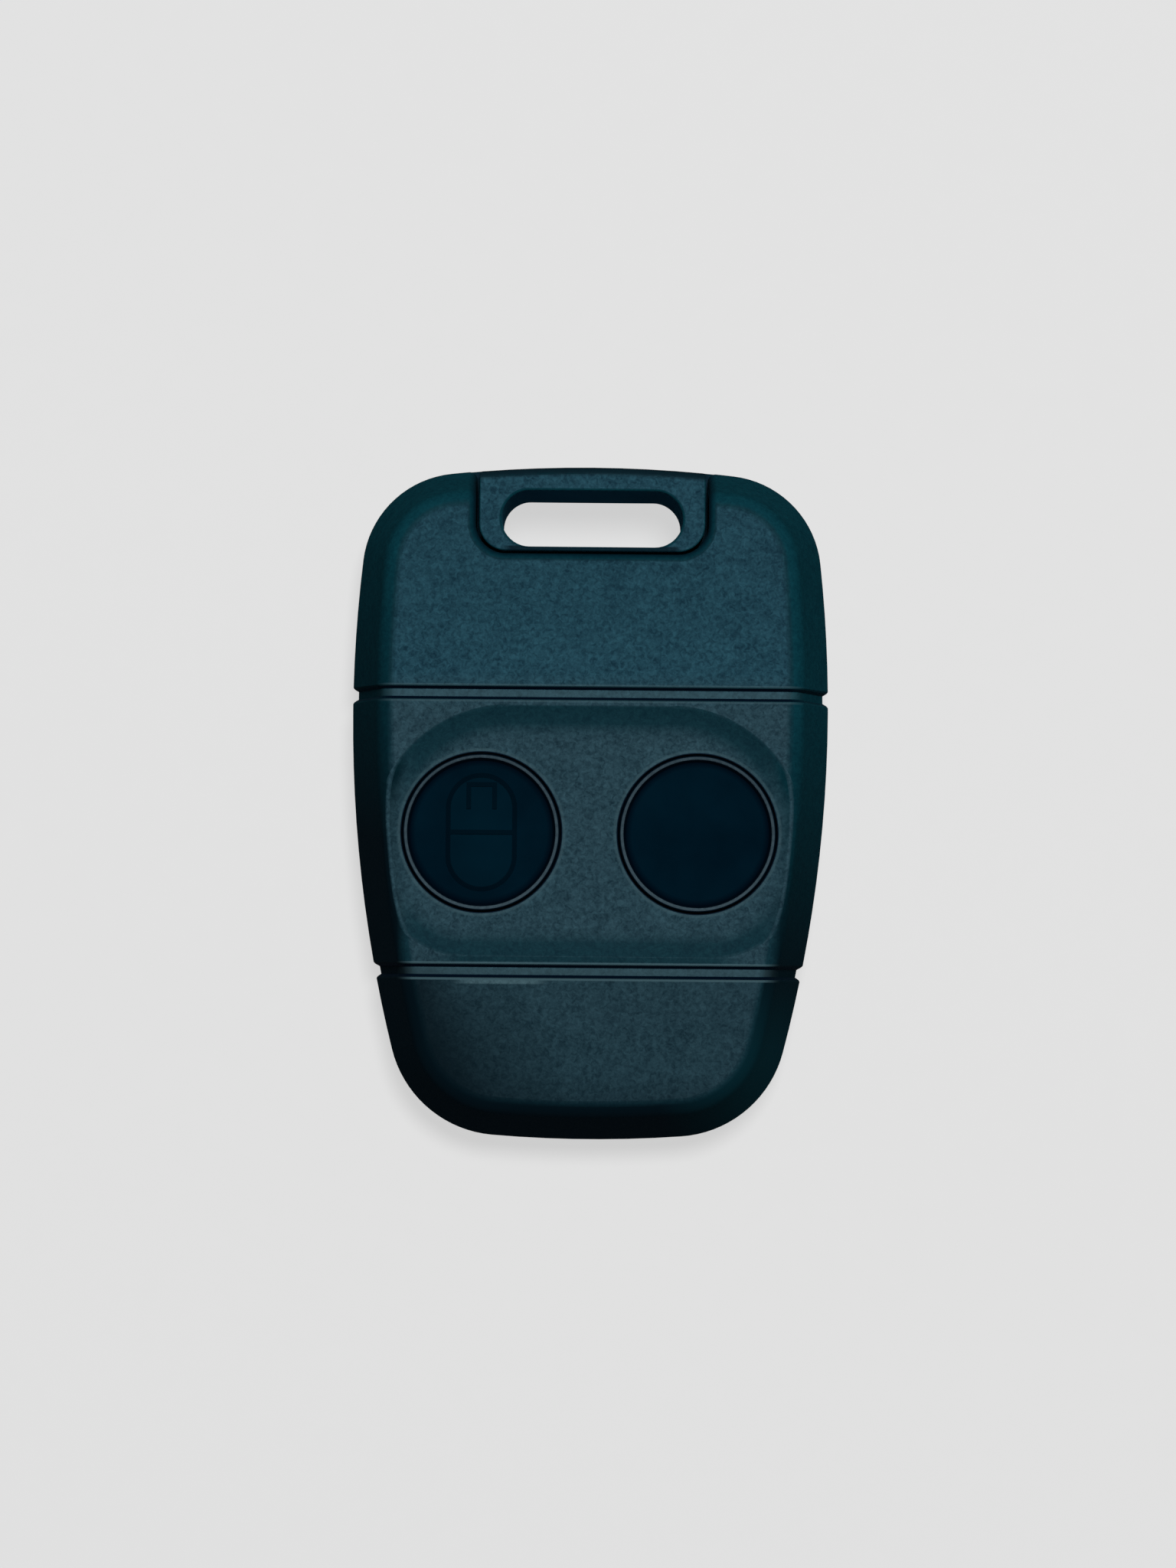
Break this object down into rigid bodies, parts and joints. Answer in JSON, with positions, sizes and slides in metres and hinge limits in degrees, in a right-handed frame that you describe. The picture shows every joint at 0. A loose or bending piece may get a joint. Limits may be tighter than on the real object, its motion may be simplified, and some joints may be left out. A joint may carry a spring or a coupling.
{
  "type": "key fob shell",
  "caption": "Closed two-button key fob: front and rear plastic casings with a key-ring slot, rubber keypad, circuit board, coin cell and push switches.",
  "frame": {"origin": "middle of the rear face, on the surface that the closed fob lies on", "axes": "+X across the width towards the plain button, +Y along the length towards the key-ring slot, +Z out of the front face"},
  "size_m": [0.0418, 0.059, 0.0124],
  "materials": {
    "casing_plastic": "fine spark-eroded grain, dark petrol",
    "button_rubber": "smooth moulded rubber, satin, greyed crest",
    "keypad_rubber": "soft silicone, dark grey",
    "seal_rubber": "dull black",
    "board_laminate": "green solder resist",
    "copper_track": "bare copper",
    "cell_steel": "drawn stainless steel",
    "cell_nylon": "moulded nylon",
    "contact_spring": "plated spring strip",
    "switch_plastic": "moulded",
    "plunger_plastic": "moulded",
    "switch_steel": "stamped",
    "tinned_legs": "tinned",
    "chip_plastic": "moulded epoxy",
    "can_metal": "nickel plate",
    "capacitor_resin": "moulded resin",
    "capacitor_ceramic": "fired ceramic",
    "resistor_ceramic": "fired ceramic, dark coat"
  },
  "bodies": {
    "rear_half": {"rear_casing": "casing_plastic", "perimeter_seal": "seal_rubber", "circuit_board": "board_laminate", "aerial_track": "copper_track", "cell_can": "cell_steel", "cell_cap": "cell_steel", "cell_gasket": "cell_nylon", "positive_contact": "contact_spring", "negative_contact": "contact_spring", "controller_body": "chip_plastic", "controller_legs": "tinned_legs", "memory_body": "chip_plastic", "memory_legs": "tinned_legs", "transistor_body": "chip_plastic", "transistor_legs": "tinned_legs", "resonator_base": "can_metal", "resonator_can": "can_metal", "tantalum_capacitor": "capacitor_resin", "chip_capacitors": "capacitor_ceramic", "chip_resistors": "resistor_ceramic", "switch_base_left": "switch_plastic", "switch_cover_left": "switch_steel", "switch_dome_left": "switch_steel", "switch_terminals_left": "tinned_legs", "switch_base_right": "switch_plastic", "switch_cover_right": "switch_steel", "switch_dome_right": "switch_steel", "switch_terminals_right": "tinned_legs"},
    "front_half": {"front_casing": "casing_plastic", "keypad_web": "keypad_rubber", "keypad_skirt_left": "keypad_rubber", "keypad_skirt_right": "keypad_rubber"},
    "left_button": {"button_left": "button_rubber", "keypad_pad_left": "keypad_rubber"},
    "left_plunger": {"switch_plunger_left": "plunger_plastic"},
    "right_button": {"button_right": "button_rubber", "keypad_pad_right": "keypad_rubber"},
    "right_plunger": {"switch_plunger_right": "plunger_plastic"}
  },
  "joints": [
    {"name": "case_open", "type": "slide", "parent": "rear_half", "child": "front_half", "axis": [0, 0, 1], "range_m": [0, 0.03]},
    {"name": "left_button_press", "type": "slide", "parent": "front_half", "child": "left_button", "axis": [0, 0, -1], "range_m": [0, 0.00035], "stiffness_N_per_m": 5000, "deforming": ["keypad_skirt_left"]},
    {"name": "right_button_press", "type": "slide", "parent": "front_half", "child": "right_button", "axis": [0, 0, -1], "range_m": [0, 0.00035], "stiffness_N_per_m": 5000, "deforming": ["keypad_skirt_right"]},
    {"name": "left_switch_press", "type": "slide", "parent": "rear_half", "child": "left_plunger", "axis": [0, 0, -1], "range_m": [0, 0.00035], "deforming": ["switch_dome_left"]},
    {"name": "right_switch_press", "type": "slide", "parent": "rear_half", "child": "right_plunger", "axis": [0, 0, -1], "range_m": [0, 0.00035], "deforming": ["switch_dome_right"]}
  ],
  "couplings": [
    {"joint": "left_switch_press", "follows": "left_button_press", "ratio": 1},
    {"joint": "right_switch_press", "follows": "right_button_press", "ratio": 1}
  ]
}
